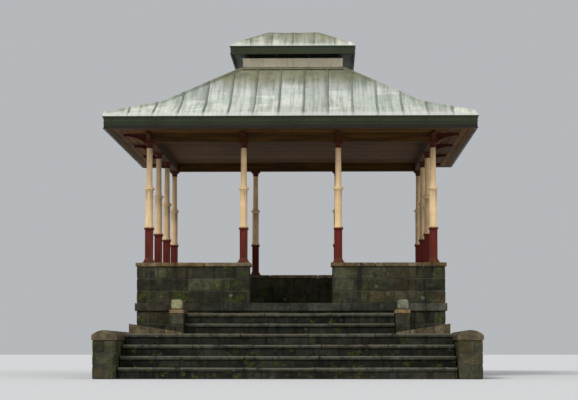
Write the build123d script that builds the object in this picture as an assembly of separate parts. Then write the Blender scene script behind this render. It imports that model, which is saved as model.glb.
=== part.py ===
from build123d import *
import os
from math import cos, radians, sqrt, tan

os.makedirs("parts", exist_ok=True)

# A square park bandstand: a stone base and stair, twelve cast-iron columns, and a
# hipped copper roof that flares at the eaves and carries a louvred lantern.
# Millimetres, +Z up. The origin is the middle of the pavilion at path level, and
# the stair comes up from the -Y side.

# Plan
bay = 1830.0                    # one bay, between column centres
bays_per_side = 3

# Stone base and walls
wall_thickness = 430.0          # base wall and dwarf wall alike
floor_thickness = 150.0
floor_lip = 30.0                # the floor slab stands this proud of the wall
dwarf_wall_height = 700.0       # floor to the underside of the coping
coping_thickness = 76.0
coping_overhang = 25.0
coping_chamfer = 18.0
entrance_width = 1570.0         # between the ends of the two front walls

# Stair
riser = 200.0
tread = 350.0
lower_risers = 4
upper_risers = 3
landing_depth = 1150.0
tread_thickness = 70.0
nosing = 25.0                   # tread edge in front of its riser
nosing_radius = 16.0
upper_flight_width = 3930.0
side_wall_thickness = 450.0     # walls that close the ends of the lower flight
side_wall_rise = 50.0           # their crown above the landing
side_wall_reach = 90.0          # their front end before the first nosing
side_wall_crown = 90.0          # rise of their rounded top
cheek_thickness = 270.0
cheek_rise = 450.0              # cheek wall above the landing
cheek_reach = 340.0             # cheek wall before the first upper riser
cap_stone_width = 210.0
cap_stone_height = 190.0
cap_stone_rounding = 52.0
kerb_thickness = 200.0
kerb_rise_outer = 190.0
kerb_rise_inner = 30.0

# Cast-iron columns
column_height = 2344.0          # coping to the underside of the beam
pedestal_width = 186.0
pedestal_height = 677.0
pedestal_trim = 20.0            # projection of its foot and head
pedestal_foot_height = 80.0
pedestal_head_height = 40.0
panel_margin = 30.0
panel_sink = 8.0
lower_shaft_width = 140.0       # across the flats of its octagon
base_flare_width = 166.0
base_flare_height = 46.0
base_flare_cut = 32.0           # height of its sloped part
collar_width = 204.0
collar_height = 1440.0          # middle of the collar above the coping
collar_band = 28.0
collar_flare_height = 34.0
upper_shaft_radius = 57.0
neck_ring_width = 130.0
neck_ring_height = 18.0
capital_height = 104.0
capital_width = 184.0
capital_flare_height = 41.0
abacus_width = 204.0
abacus_thickness = 30.0

# Beams, consoles and ceiling
beam_width = 160.0
beam_depth = 170.0
console_reach = 430.0
console_width = 90.0
console_web = 30.0
console_flange = 15.0
console_tip = 48.0              # depth of the console at its outer end
console_sag = 34.0              # hollow of its curved edge
ceiling_thickness = 40.0

# Main roof
eave_overhang = 829.0           # column centre line to the roof's edge
fascia_height = 240.0
fascia_thickness = 35.0
fascia_setback = 29.0           # fascia face behind the roof's edge
gutter_setback = 2.0            # gutter's lip behind the roof's edge
gutter_lip_height = 8.0
cove_height = 100.0             # hollow moulding under the gutter's lip
cove_middle_height = 67.0       # middle of its arc, above its foot
cove_middle_reach = 10.0        # middle of its arc, in front of the fascia
roof_edge_thickness = 40.0
roof_thickness = 70.0
flare_run = 1028.0
flare_pitch = 18.8              # degrees
main_pitch = 31.2               # degrees
bell_radius = 1000.0            # curve between the two pitches
sheets_per_slope = 15           # copper sheets along each eave
seam_width = 22.0
seam_height = 26.0
seam_setback = 18.0             # end of a seam behind the roof's edge
hip_roll_width = 76.0
hip_roll_height = 40.0
hip_roll_shoulder = 14.0        # top of its upright sides, above the hip line
hip_roll_crown_width = 34.0

# Lantern
lantern_half = 1009.0           # outer face of the curb
lantern_wall = 60.0
curb_drop = 160.0               # curb below the roof surface that meets it
curb_height = 209.0             # curb above the roof surface that meets it
curb_lip = 18.0
curb_lip_height = 28.0
louvre_height = 110.0
louvre_setback = 34.0
louvre_depth = 40.0
louvre_count = 2
louvre_blade = 9.0
louvre_rise = 38.0              # from the outer to the inner edge of a blade
louvre_bays = 3                 # bays of louvres on each side
louvre_post = 46.0
lantern_eave_half = 1286.0
lantern_fascia_height = 166.0
lantern_fascia_drop = 60.0      # fascia below the lantern's soffit
lantern_fascia_thickness = 30.0
lantern_fascia_setback = 22.0
lantern_soffit_thickness = 30.0
lantern_roof_edge = 26.0
lantern_roof_thickness = 50.0
lantern_pitch = 26.0            # degrees
lantern_break_half = 520.0      # where the pitch eases towards the crown
lantern_crown_pitch = 9.0       # degrees
lantern_crown_half = 90.0
lantern_crown_height = 18.0

# Worked out from the sizes above
half_span = bay * bays_per_side / 2
wall_outer = half_span + wall_thickness / 2
wall_inner = half_span - wall_thickness / 2
landing_height = riser * lower_risers
floor_height = riser * (lower_risers + upper_risers)
coping_foot = floor_height + dwarf_wall_height
coping_top = coping_foot + coping_thickness
beam_foot = coping_top + column_height
beam_top = beam_foot + beam_depth
roof_edge = half_span + eave_overhang
fascia_outer = roof_edge - fascia_setback
fascia_inner = fascia_outer - fascia_thickness
eave_seat = beam_top + fascia_height
eave_top = eave_seat + roof_edge_thickness
flare_top_half = roof_edge - flare_run
flare_top = eave_top + flare_run * tan(radians(flare_pitch))
roof_top = flare_top + (flare_top_half - lantern_half) * tan(radians(main_pitch))
curb_foot = roof_top - curb_drop
curb_top = roof_top + curb_height
lantern_soffit_foot = curb_top + louvre_height
lantern_fascia_foot = lantern_soffit_foot - lantern_fascia_drop
lantern_seat = lantern_fascia_foot + lantern_fascia_height
lantern_fascia_outer = lantern_eave_half - lantern_fascia_setback
lantern_fascia_inner = lantern_fascia_outer - lantern_fascia_thickness
lower_flight_half = wall_outer
upper_front = -wall_outer - tread * (upper_risers - 1)
landing_front = upper_front - landing_depth
lower_front = landing_front - tread * (lower_risers - 1)

same_place = 1.0                # points closer than this count as one place
sides = {"front": 0, "right": 90, "back": 180, "left": 270}
column_places = [bay * i - half_span for i in range(bays_per_side + 1)]


def save(node, shape):
    """Write one node to its own file."""
    solids = shape.solids()
    whole = solids[0] if len(solids) == 1 else Compound(children=list(solids))
    export_step(whole, f"parts/{node}.step")


def slab(x0, x1, y0, y1, z0, z1):
    """A plain block between two corners."""
    return Pos((x0 + x1) / 2, (y0 + y1) / 2, (z0 + z1) / 2) * Box(x1 - x0, y1 - y0, z1 - z0)


def section(points):
    """A closed face in the YZ plane, from points given as (y, z)."""
    return Plane.YZ * make_face(Polyline(*points, close=True))


def corner_wedge(reach):
    """The space that a front member may fill, between the two diagonals of the plan."""
    plan = make_face(Polyline((0, 0), (-reach, -reach), (reach, -reach), close=True))
    return extrude(plan, amount=2 * roof_top)


def mitred(face, reach):
    """The front member of a square ring: a section run along X and mitred at 45 degrees."""
    return extrude(face, amount=reach, both=True) & corner_wedge(reach)


def turned(shape, side):
    """A front member turned to another side of the square."""
    return Rot(0, 0, sides[side]) * shape


def arched_block(x0, x1, y0, y1, z0, z1, crown):
    """A wall that runs along Y, with a rounded top."""
    arc = ThreePointArc((x1, z1 - crown), ((x0 + x1) / 2, z1), (x0, z1 - crown))
    legs = Polyline((x0, z1 - crown), (x0, z0), (x1, z0), (x1, z1 - crown))
    face = Plane.XZ * make_face(arc + legs)
    return Pos(0, y1, 0) * extrude(face, amount=y1 - y0)


def base_and_floor():
    """The stone podium and the slab that floors it."""
    save("base_podium", slab(-wall_outer, wall_outer, -wall_outer, wall_outer,
                             0, floor_height - floor_thickness))
    out = wall_outer + floor_lip
    floor = slab(-out, out, -out, out, floor_height - floor_thickness, floor_height)
    rim = [e for e in floor.edges() if e.center().Z > floor_height - same_place]
    save("floor_slab", fillet(rim, nosing_radius))


def dwarf_walls():
    """Low walls on the column line, open in the middle of the front."""
    door = entrance_width / 2
    spans = {
        "front_left": (-wall_outer, -door, -wall_outer, -wall_inner),
        "front_right": (door, wall_outer, -wall_outer, -wall_inner),
        "back": (-wall_outer, wall_outer, wall_inner, wall_outer),
        "left": (-wall_outer, -wall_inner, -wall_inner, wall_inner),
        "right": (wall_inner, wall_outer, -wall_inner, wall_inner),
    }
    for name, (x0, x1, y0, y1) in spans.items():
        save(f"dwarf_wall_{name}", slab(x0, x1, y0, y1, floor_height, coping_foot))


def copings():
    """Chamfered coping stones on the dwarf walls, mitred at the corners."""
    outer = -wall_outer - coping_overhang
    inner = -wall_inner + coping_overhang
    shoulder = coping_top - coping_chamfer
    length = section([
        (outer, coping_foot), (inner, coping_foot), (inner, shoulder),
        (inner - coping_chamfer, coping_top), (outer + coping_chamfer, coping_top),
        (outer, shoulder)])
    run = mitred(length, -outer)
    for side in ("left", "right", "back"):
        save(f"coping_{side}", turned(run, side))
    end = entrance_width / 2 - coping_overhang
    save("coping_front", run - slab(-end, end, -roof_edge, 0, 0, eave_top))


def tread_slab(half_width, front, back, top):
    """One stone tread with a rounded nosing."""
    stone = slab(-half_width, half_width, front, back, top - tread_thickness, top)
    edge = [e for e in stone.edges()
            if abs(e.center().Y - front) < same_place and abs(e.center().X) < same_place]
    return fillet(edge, nosing_radius)


def stair():
    """Two flights: stone treads on stepped masonry, with the landing between."""
    half = lower_flight_half
    core = [(-wall_outer, 0), (lower_front, 0)]
    for i in range(lower_risers):
        front = lower_front + tread * i
        top = riser * (i + 1) - tread_thickness
        core.append((front, top))
        back = front + tread if i < lower_risers - 1 else -wall_outer
        core.append((back, top))
        if i < lower_risers - 1:
            save(f"lower_tread_{i + 1}",
                 tread_slab(half, front - nosing, back, riser * (i + 1)))
    save("lower_stair_core", extrude(section(core), amount=half, both=True))
    save("landing_slab", tread_slab(half, landing_front - nosing, -wall_outer, landing_height))

    half = upper_flight_width / 2
    core = [(-wall_outer, landing_height), (upper_front, landing_height)]
    for i in range(upper_risers - 1):
        front = upper_front + tread * i
        top = landing_height + riser * (i + 1)
        core += [(front, top - tread_thickness), (front + tread, top - tread_thickness)]
        save(f"upper_tread_{i + 1}", tread_slab(half, front - nosing, front + tread, top))
    save("upper_stair_core", extrude(section(core), amount=half, both=True))


def stair_walls():
    """Side walls of the lower flight, cheek walls of the upper one, and the kerbs between."""
    caps = []
    kerbs = []
    for side, sign in (("left", -1), ("right", 1)):
        inner = lower_flight_half
        outer = inner + side_wall_thickness
        x0, x1 = sorted((sign * inner, sign * outer))
        save(f"stair_side_wall_{side}",
             arched_block(x0, x1, lower_front - nosing - side_wall_reach, -wall_outer,
                          0, landing_height + side_wall_rise, side_wall_crown))

        cheek_in = upper_flight_width / 2
        cheek_out = cheek_in + cheek_thickness
        cheek_front = upper_front - cheek_reach
        cheek_top = landing_height + cheek_rise
        x0, x1 = sorted((sign * cheek_in, sign * cheek_out))
        save(f"cheek_wall_{side}", slab(x0, x1, cheek_front, -wall_outer,
                                        landing_height, cheek_top))

        cap_x = (x0 + x1) / 2
        cap_y = cheek_front + cheek_thickness / 2
        cap = Pos(cap_x, cap_y, cheek_top + cap_stone_height / 2) * Box(
            cap_stone_width, cap_stone_width, cap_stone_height)
        cap_top = cheek_top + cap_stone_height - same_place
        crown = [e for e in cap.edges() if e.center().Z > cap_top]
        caps.append(fillet(crown, cap_stone_rounding))

        kerb = [(sign * cheek_in, landing_height), (sign * inner, landing_height),
                (sign * inner, landing_height + kerb_rise_outer),
                (sign * cheek_in, landing_height + kerb_rise_inner)]
        face = Plane.XZ * make_face(Polyline(*kerb, close=True))
        kerbs.append(Pos(0, cheek_front, 0) * extrude(face, amount=kerb_thickness))
    save("cheek_cap_stones", Compound(children=caps))
    save("wing_kerbs", Compound(children=kerbs))


def pedestal():
    """The square foot of a column, with sunk panels and moulded foot and head."""
    low = (Align.CENTER, Align.CENTER, Align.MIN)
    die_width = pedestal_width - 2 * pedestal_trim
    die = Box(die_width, die_width, pedestal_height, align=low)
    foot = Box(pedestal_width, pedestal_width, pedestal_foot_height, align=low)
    foot = chamfer(foot.faces().sort_by(Axis.Z)[-1].edges(), pedestal_trim)
    head = Pos(0, 0, pedestal_height - pedestal_head_height) * Box(
        pedestal_width, pedestal_width, pedestal_head_height, align=low)
    head = chamfer(head.faces().sort_by(Axis.Z)[0].edges(), pedestal_trim)
    block = die + foot + head
    panel_foot = pedestal_foot_height + panel_margin
    panel_height = pedestal_height - pedestal_head_height - panel_margin - panel_foot
    recess = Box(die_width - 2 * panel_margin, 2 * panel_sink, panel_height)
    recess = Pos(0, -die_width / 2, panel_foot + panel_height / 2) * recess
    for turn in range(4):
        block -= Rot(0, 0, 90 * turn) * recess
    return block


def octagon(width, height):
    """An octagon as wide as given across its flats, at a height."""
    face = RegularPolygon(width / 2, 8, major_radius=False, rotation=22.5)
    return Pos(0, 0, height) * face


def splayed(width, foot, head, below, above):
    """An octagonal length cut back to narrower ends, each given as (width, height of cut)."""
    block = extrude(octagon(width, foot), amount=head - foot)
    for (end_width, cut), place in ((below, 0), (above, -1)):
        if cut:
            end = block.faces().sort_by(Axis.Z)[place]
            block = chamfer(end.edges(), length=(width - end_width) / 2, length2=cut,
                            reference=end)
    return block


def column_casting():
    """A whole column: octagonal below its collar, round above, and splayed at both ends."""
    shaft_foot = pedestal_height + base_flare_height
    collar_foot = collar_height - collar_band / 2 - collar_flare_height
    collar_head = collar_height + collar_band / 2 + collar_flare_height
    capital_foot = column_height - capital_height
    abacus_foot = column_height - abacus_thickness
    low = (Align.CENTER, Align.CENTER, Align.MIN)

    casting = pedestal()
    casting += splayed(base_flare_width, pedestal_height, shaft_foot,
                       (0, 0), (lower_shaft_width, base_flare_cut))
    casting += extrude(octagon(lower_shaft_width, shaft_foot), amount=collar_foot - shaft_foot)
    casting += splayed(collar_width, collar_foot, collar_head,
                       (lower_shaft_width, collar_flare_height),
                       (neck_ring_width, collar_flare_height))
    casting += Pos(0, 0, collar_head) * Cylinder(
        upper_shaft_radius, capital_foot - collar_head, align=low)
    casting += extrude(octagon(neck_ring_width, capital_foot), amount=neck_ring_height)
    casting += splayed(capital_width, capital_foot + neck_ring_height, abacus_foot,
                       (neck_ring_width, capital_flare_height), (0, 0))
    casting += Pos(0, 0, abacus_foot) * Box(
        abacus_width, abacus_width, abacus_thickness, align=low)
    return casting


def columns():
    """Four columns along each side, the corner ones shared."""
    casting = column_casting()
    count = 0
    for y in column_places:
        for x in column_places:
            if max(abs(x), abs(y)) < half_span - same_place:
                continue
            count += 1
            save(f"column_{count:02d}", Pos(x, y, coping_top) * casting)


def console_curve(back, tip, foot, end):
    """The hollow curve under a console, from the beam out to its tip."""
    sag = ((back + tip) / 2, (foot + end) / 2 + console_sag)
    return ThreePointArc((back, foot), sag, (tip, end))


def consoles():
    """T-shaped consoles that curve out from each column, under the eaves."""
    back = -half_span - beam_width / 2
    tip = back - console_reach
    end = beam_top - console_tip
    edge = console_curve(back, tip, beam_foot, end)
    web = Plane.YZ * make_face(edge + Polyline((tip, end), (tip, beam_top), (back, beam_top),
                                               (back, beam_foot)))
    inner = console_curve(back, tip, beam_foot + console_flange, end + console_flange)
    flange = Plane.YZ * make_face(Curve() + [edge, Line(edge @ 1, inner @ 1), inner,
                                             Line(inner @ 0, edge @ 0)])
    console = extrude(web, amount=console_web / 2, both=True)
    console += extrude(flange, amount=console_width / 2, both=True)
    row = [Pos(x, 0, 0) * console for x in column_places]
    save("eaves_consoles", Compound(children=[turned(c, side) for side in sides for c in row]))


def beams_and_ceiling():
    """The ring of beams on the columns and the boarded ceiling on the beams."""
    outer = -half_span - beam_width / 2
    inner = -half_span + beam_width / 2
    beam = mitred(section([(outer, beam_foot), (inner, beam_foot),
                           (inner, beam_top), (outer, beam_top)]), -outer)
    for side in sides:
        save(f"beam_{side}", turned(beam, side))
    save("ceiling_deck", slab(-fascia_inner, fascia_inner, -fascia_inner, fascia_inner,
                              beam_top, beam_top + ceiling_thickness))


def fascias():
    """The moulded fascia and gutter under each eave."""
    lip = -roof_edge + gutter_setback
    lip_foot = eave_seat - gutter_lip_height
    cove_foot = eave_seat - cove_height
    cove = ThreePointArc((-fascia_outer, cove_foot),
                         (-fascia_outer - cove_middle_reach, cove_foot + cove_middle_height),
                         (lip, lip_foot))
    rest = Polyline((lip, lip_foot), (lip, eave_seat), (-fascia_inner, eave_seat),
                    (-fascia_inner, beam_top), (-fascia_outer, beam_top),
                    (-fascia_outer, cove_foot))
    face = Plane.YZ * make_face(cove + rest)
    run = mitred(face, roof_edge)
    for side in sides:
        save(f"eaves_fascia_{side}", turned(run, side))


def roof_level(half, lift):
    """Height of the roof on its flare and on its main pitch, a lift above the surface."""
    flare = (eave_top + (roof_edge - half) * tan(radians(flare_pitch))
             + lift / cos(radians(flare_pitch)))
    main = (flare_top + (flare_top_half - half) * tan(radians(main_pitch))
            + lift / cos(radians(main_pitch)))
    return flare, main


def roof_line(lift, foot_half, head_half):
    """The bell-cast line of a slope, from its foot up to its head."""
    flare, main = roof_level(0, lift)
    bend_half = (flare - main) / (tan(radians(flare_pitch)) - tan(radians(main_pitch)))
    return FilletPolyline((-foot_half, roof_level(foot_half, lift)[0]),
                          (-bend_half, roof_level(bend_half, lift)[0]),
                          (-head_half, roof_level(head_half, lift)[1]),
                          radius=bell_radius - lift)


def closed_profile(line_a, line_b, *corners):
    """A face in the YZ plane between two lines, with more corners at their feet."""
    head = Line(line_a @ 1, line_b @ 1)
    foot = Polyline(line_b @ 0, *corners, line_a @ 0)
    return Plane.YZ * make_face(Curve() + [line_a, head, line_b, foot])


def roof_slope():
    """The front slope: a deck that bends from the main pitch to the flared eave, with seams."""
    deck = closed_profile(roof_line(0, roof_edge, lantern_half),
                          roof_line(-roof_thickness, fascia_inner, lantern_half),
                          (-fascia_inner, eave_seat), (-roof_edge, eave_seat))
    slope = mitred(deck, roof_edge)
    fin = closed_profile(roof_line(seam_height, roof_edge - seam_setback, lantern_half),
                         roof_line(-seam_height / 2, roof_edge - seam_setback, lantern_half))
    seam = extrude(fin, amount=seam_width / 2, both=True)
    sheet = 2 * roof_edge / sheets_per_slope
    between_rolls = Pos(0, -hip_roll_width / sqrt(2), 0) * corner_wedge(roof_edge)
    for i in range(1, sheets_per_slope):
        slope += (Pos(sheet * i - roof_edge, 0, 0) * seam) & between_rolls
    return slope


def hip_roll(slopes, curb):
    """The roll over one hip, seated on the two slopes that meet there."""
    diagonal = sqrt(2)
    foot = roof_edge - hip_roll_width / 2
    path = Plane.XZ * FilletPolyline(
        (foot * diagonal, roof_level(foot, 0)[0]), (flare_top_half * diagonal, flare_top),
        (lantern_half * diagonal, roof_top), radius=bell_radius)
    half = hip_roll_width / 2
    crown = hip_roll_crown_width / 2
    outline = Polyline((-half, -hip_roll_height), (-half, hip_roll_shoulder),
                       (-crown, hip_roll_height), (crown, hip_roll_height),
                       (half, hip_roll_shoulder), (half, -hip_roll_height), close=True)
    frame = Plane(origin=path @ 0, x_dir=(0, 1, 0), z_dir=path % 0)
    roll = Rot(0, 0, 45) * sweep(frame * make_face(outline), path=path)
    for other in slopes:
        roll = roll - other
    roll = roll - curb
    return max(roll.solids(), key=lambda s: s.volume)


def lantern_curb():
    """The square curb that the roof slopes meet."""
    outer = lantern_half
    inner = lantern_half - lantern_wall
    wall = slab(-outer, outer, -outer, outer, curb_foot, curb_top)
    lip = slab(-outer - curb_lip, outer + curb_lip, -outer - curb_lip, outer + curb_lip,
               curb_top - curb_lip_height, curb_top)
    return wall + lip - slab(-inner, inner, -inner, inner, curb_foot, curb_top)


def main_roof():
    """Four slopes and the rolls that cover their hips."""
    slope = roof_slope()
    slopes = [turned(slope, side) for side in sides]
    for side, piece in zip(sides, slopes):
        save(f"roof_slope_{side}", piece)
    curb = lantern_curb()
    roll = hip_roll(slopes, curb)
    save("hip_rolls", Compound(children=[turned(roll, side) for side in sides]))
    save("lantern_curb", curb)


def louvres():
    """Blades between posts, all round the lantern, below its soffit."""
    outer = lantern_half - louvre_setback
    inner = outer - louvre_depth
    frame = None
    pitch = (louvre_height - louvre_blade) / louvre_count
    rows = []
    for i in range(louvre_count):
        foot = curb_top + i * pitch
        rows.append([(-outer, foot), (-outer, foot + louvre_blade),
                     (-inner, foot + louvre_rise + louvre_blade), (-inner, foot + louvre_rise)])
    for row in rows:
        blade = mitred(section(row), outer)
        for side in sides:
            piece = turned(blade, side)
            frame = piece if frame is None else frame + piece
    posts = [outer * (2 * i / louvre_bays - 1) for i in range(1, louvre_bays)]
    for side in sides:
        for x in posts:
            post = slab(x - louvre_post / 2, x + louvre_post / 2, -outer, -inner,
                        curb_top, lantern_soffit_foot)
            frame += turned(post, side)
    for sx in (-1, 1):
        for sy in (-1, 1):
            x0, x1 = sorted((sx * outer, sx * (outer - louvre_post)))
            y0, y1 = sorted((sy * outer, sy * (outer - louvre_post)))
            frame += slab(x0, x1, y0, y1, curb_top, lantern_soffit_foot)
    save("lantern_louvres", frame)


def lantern_top():
    """Soffit, fascia and low hipped roof of the lantern."""
    inner = lantern_fascia_inner
    save("lantern_soffit", slab(-inner, inner, -inner, inner, lantern_soffit_foot,
                                lantern_soffit_foot + lantern_soffit_thickness))
    outer = lantern_fascia_outer
    ring = slab(-outer, outer, -outer, outer, lantern_fascia_foot, lantern_seat)
    ring -= slab(-inner, inner, -inner, inner, lantern_fascia_foot, lantern_seat)
    save("lantern_fascia", ring)

    edge = lantern_eave_half
    slope = tan(radians(lantern_pitch))
    ease = tan(radians(lantern_crown_pitch))
    edge_top = lantern_seat + lantern_roof_edge
    drop = lantern_roof_thickness / cos(radians(lantern_pitch))
    bend = edge_top + (edge - lantern_break_half) * slope
    crown = bend + (lantern_break_half - lantern_crown_half) * ease
    profile = section([
        (-edge, lantern_seat), (-edge, edge_top), (-lantern_break_half, bend),
        (-lantern_crown_half, crown), (-lantern_crown_half, crown + lantern_crown_height),
        (0, crown + lantern_crown_height), (0, bend - drop), (-lantern_break_half, bend - drop),
        (-inner, edge_top + (edge - inner) * slope - drop), (-inner, lantern_seat)])
    piece = mitred(profile, edge)
    cover = None
    for side in sides:
        quarter = turned(piece, side)
        cover = quarter if cover is None else cover + quarter
    save("lantern_roof", cover)


base_and_floor()
dwarf_walls()
copings()
stair()
stair_walls()
columns()
consoles()
beams_and_ceiling()
fascias()
main_roof()
louvres()
lantern_top()
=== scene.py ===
import math
import random
from itertools import pairwise

import bmesh
import bpy
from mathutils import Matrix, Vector


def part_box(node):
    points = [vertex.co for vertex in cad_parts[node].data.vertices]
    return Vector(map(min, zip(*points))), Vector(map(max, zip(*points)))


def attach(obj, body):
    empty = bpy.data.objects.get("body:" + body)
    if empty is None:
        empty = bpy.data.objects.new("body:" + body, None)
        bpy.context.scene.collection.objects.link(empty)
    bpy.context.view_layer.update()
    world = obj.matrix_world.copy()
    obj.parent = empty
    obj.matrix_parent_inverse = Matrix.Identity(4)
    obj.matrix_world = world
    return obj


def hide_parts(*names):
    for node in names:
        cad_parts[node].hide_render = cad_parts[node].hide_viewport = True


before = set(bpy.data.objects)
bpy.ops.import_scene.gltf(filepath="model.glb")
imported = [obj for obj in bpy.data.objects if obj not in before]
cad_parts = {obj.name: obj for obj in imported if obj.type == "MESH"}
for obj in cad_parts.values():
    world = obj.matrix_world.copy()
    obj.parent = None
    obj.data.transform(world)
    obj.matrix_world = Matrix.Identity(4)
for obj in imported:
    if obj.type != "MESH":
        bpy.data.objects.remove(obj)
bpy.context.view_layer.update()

bl_info = {
    "name": "Park Bandstand",
    "version": (1, 0, 0),
    "blender": (4, 5, 0),
    "location": "3D View > Sidebar > Bandstand",
    "description": "Dresses a square park bandstand with stone, iron, timber and copper",
    "category": "Object",
}

SIDES = ("front", "right", "back", "left")
CORNERS = ((-1, -1), (-1, 1), (1, -1), (1, 1))
SHEETS = 15                     # copper sheets along each eave
LANTERN_SHEETS = 6
SHEET_THICK = 0.04              # the copper's edge above the foot of a slope
FLARE_RUN = 1.028               # eave to the bend between the two pitches
FLARE_PITCH = math.radians(18.8)
MAIN_PITCH = math.radians(31.2)
CURB_FACE = 0.034               # the lantern's curb in front of its louvres
BODY = "root"
GROUND = 0.001                  # lowest points of the stones
STONE_DEPTH = 0.22
CLOSE = 1e-4                    # points nearer than this lie on one line
FLAT = (0, 0, 0)                # the turn of a strip that lies level


# Sizes and colours that a user may change


def length(name, description, default):
    return bpy.props.FloatProperty(name=name, description=description, default=default,
                                   min=0.0005, unit="LENGTH", subtype="DISTANCE")


def shade(*card):
    """A scene-linear colour from the 0 to 255 values of a paint card."""
    return tuple(((value / 255 + 0.055) / 1.055) ** 2.4 if value > 10 else value / 3295
                 for value in card)


def colour(name, description, *card):
    return bpy.props.FloatVectorProperty(name=name, description=description, size=3, min=0.0,
                                         max=1.0, subtype="COLOR", default=shade(*card))


class BandstandSizes(bpy.types.PropertyGroup):
    """Sizes of the dressings that are laid over the frame."""

    course: length("Course height", "Height of one course of walling", 0.235)
    stone: length("Stone length", "Mean length of a walling stone", 0.46)
    joint: length("Wall joint", "Width of a mortar joint in the walls", 0.012)
    recess: length("Joint recess", "Depth of the mortar behind the stone faces", 0.014)
    rough: length("Stone relief", "Height of the relief on a walling stone", 0.016)
    arris: length("Arris", "Width of the worn edge of a walling stone", 0.011)
    step_stone: length("Step length", "Length of one stone in a step", 1.25)
    step_joint: length("Step joint", "Width of a joint between two steps", 0.005)
    coping_stone: length("Coping length", "Length of one coping stone", 0.98)
    paving: length("Paving size", "Size of one floor slab", 0.75)
    board: length("Board width", "Width of one ceiling board", 0.13)
    board_groove: length("Board groove", "Width of the groove between boards", 0.008)
    tread_wear: length("Tread wear", "How far feet have dished the treads", 0.007)
    welt: length("Welt width", "Width of a cross welt in the copper", 0.026)


class BandstandColours(bpy.types.PropertyGroup):
    """Colours of the finishes."""

    wall: colour("Walling", "Weathered walling stone", 67, 65, 49)
    moss: colour("Moss", "Moss and algae on the stone", 58, 66, 26)
    lichen: colour("Lichen", "Pale lichen on the stone", 140, 144, 122)
    step: colour("Steps", "Weathered step stone", 60, 60, 51)
    # The worn edge colour is worn stone and also a painted highlight, where the nosings catch the
    # light.
    worn: colour("Worn edge", "Stone that feet have worn clean", 116, 112, 96)
    coping: colour("Coping", "Coping stone", 124, 110, 84)
    cap: colour("Cap stones", "Pale blocks that end the cheek walls", 160, 164, 140)
    mortar: colour("Mortar", "Mortar in the joints", 70, 66, 54)
    cream: colour("Cream paint", "Paint on the column shafts", 236, 202, 154)
    maroon: colour("Maroon paint", "Paint on the pedestals", 104, 33, 23)
    # Console paint is the maroon made darker, as painted shade for the consoles and capitals under
    # the eaves.
    console: colour("Console paint", "Paint on consoles and capitals", 74, 28, 15)
    rust: colour("Rust", "Rust where the paint has gone", 92, 48, 28)
    # Grime also colours the painted shade along the fascias' lower edge.
    grime_and_shade: colour("Grime", "Dirt that runs down the paint", 66, 58, 44)
    timber: colour("Timber", "Stained beams", 94, 65, 30)
    boarding: colour("Boarding", "Stained ceiling boards", 98, 68, 33)
    patina: colour("Patina", "Pale patina of the copper", 208, 211, 204)
    verdigris: colour("Verdigris", "Greener patina", 158, 177, 164)
    stain: colour("Roof stain", "Moss and soot on the copper", 130, 127, 98)
    green: colour("Green paint", "Paint on fascias and gutters", 49, 58, 39)
    pale: colour("Pale paint", "Paint on the lantern curb", 238, 226, 202)
    # The louvre colour is near black, a painted shade for the gap under the lantern's eaves.
    louvre: colour("Louvre paint", "Paint on the louvre blades", 44, 46, 42)


def sizes():
    return bpy.context.scene.bandstand_sizes


def colours():
    return bpy.context.scene.bandstand_colours


# Shader nodes


class Wire:
    """An outlet of a node of the material in hand; wires can be added and multiplied."""

    tree = None

    def __init__(self, outlet):
        self.outlet = outlet

    def __add__(self, other):
        return maths("ADD", self, other)

    def __sub__(self, other):
        return maths("SUBTRACT", self, other)

    def __rsub__(self, other):
        return maths("SUBTRACT", other, self)

    def __mul__(self, other):
        return maths("MULTIPLY", self, other)


def feed(socket, source):
    """Link a socket to a wire, or set it to a value."""
    if isinstance(source, Wire):
        Wire.tree.links.new(source.outlet, socket)
    elif socket.type == "RGBA":
        socket.default_value = (*source[:3], 1)
    else:
        socket.default_value = source


def outlets(kind, inputs=(), **options):
    """Add a shader node, set its options, feed its sockets, and give its outlets."""
    made = Wire.tree.nodes.new("ShaderNode" + kind)
    for option, value in options.items():
        setattr(made, option, value)
    for key, source in dict(inputs).items():
        feed(made.inputs[key], source)
    return made.outputs


def node(kind, inputs=(), outlet=0, **options):
    return Wire(outlets(kind, inputs, **options)[outlet])


def split(source, kind="SeparateXYZ"):
    return [Wire(outlet) for outlet in outlets(kind, {0: source})]


def maths(operation, *terms):
    return node("Math", dict(enumerate(terms)), operation=operation)


def vector_maths(operation, *terms):
    return node("VectorMath", dict(enumerate(terms)), operation=operation)


def noise(point, scale, detail=3, roughness=0.6):
    return node("TexNoise", {"Vector": point, "Scale": scale, "Detail": detail,
                             "Roughness": roughness})


def band(value, low, high, start=0, end=1):
    """Start below low, end above high, and smooth between; low may be the greater."""
    return node("MapRange", {"Value": value, "From Min": low, "From Max": high,
                             "To Min": start, "To Max": end}, interpolation_type="SMOOTHSTEP")


def mix(factor, first, second):
    return node("Mix", {0: factor, 6: first, 7: second}, 2, data_type="RGBA")


def scaled(tint, factor):
    """A colour made darker or lighter by a factor."""
    return node("VectorMath", {0: tint, "Scale": factor}, operation="SCALE")


def shaded(tint, *pattern):
    """A colour made darker or lighter by the band of a pattern."""
    return scaled(tint, band(*pattern))


def stretched(point, x, y, z):
    return node("Mapping", {"Vector": point, "Scale": (x, y, z)})


def attribute(name):
    return node("Attribute", outlet="Fac", attribute_name=name)


def object_point():
    return node("TexCoord", outlet="Object")


def bump(height, depth, before=None):
    inputs = {"Height": height, "Distance": depth, "Strength": 1}
    if before is not None:
        inputs["Normal"] = before
    return node("Bump", inputs)


def surface(body, roughness, normal=None, specular=0.5):
    """Feed the shader of the material in hand."""
    sockets = Wire.tree.nodes["Principled BSDF"].inputs
    feed(sockets["Base Color"], body)
    feed(sockets["Roughness"], roughness)
    if normal is not None:
        feed(sockets["Normal"], normal)
    sockets["Specular IOR Level"].default_value = specular


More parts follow.
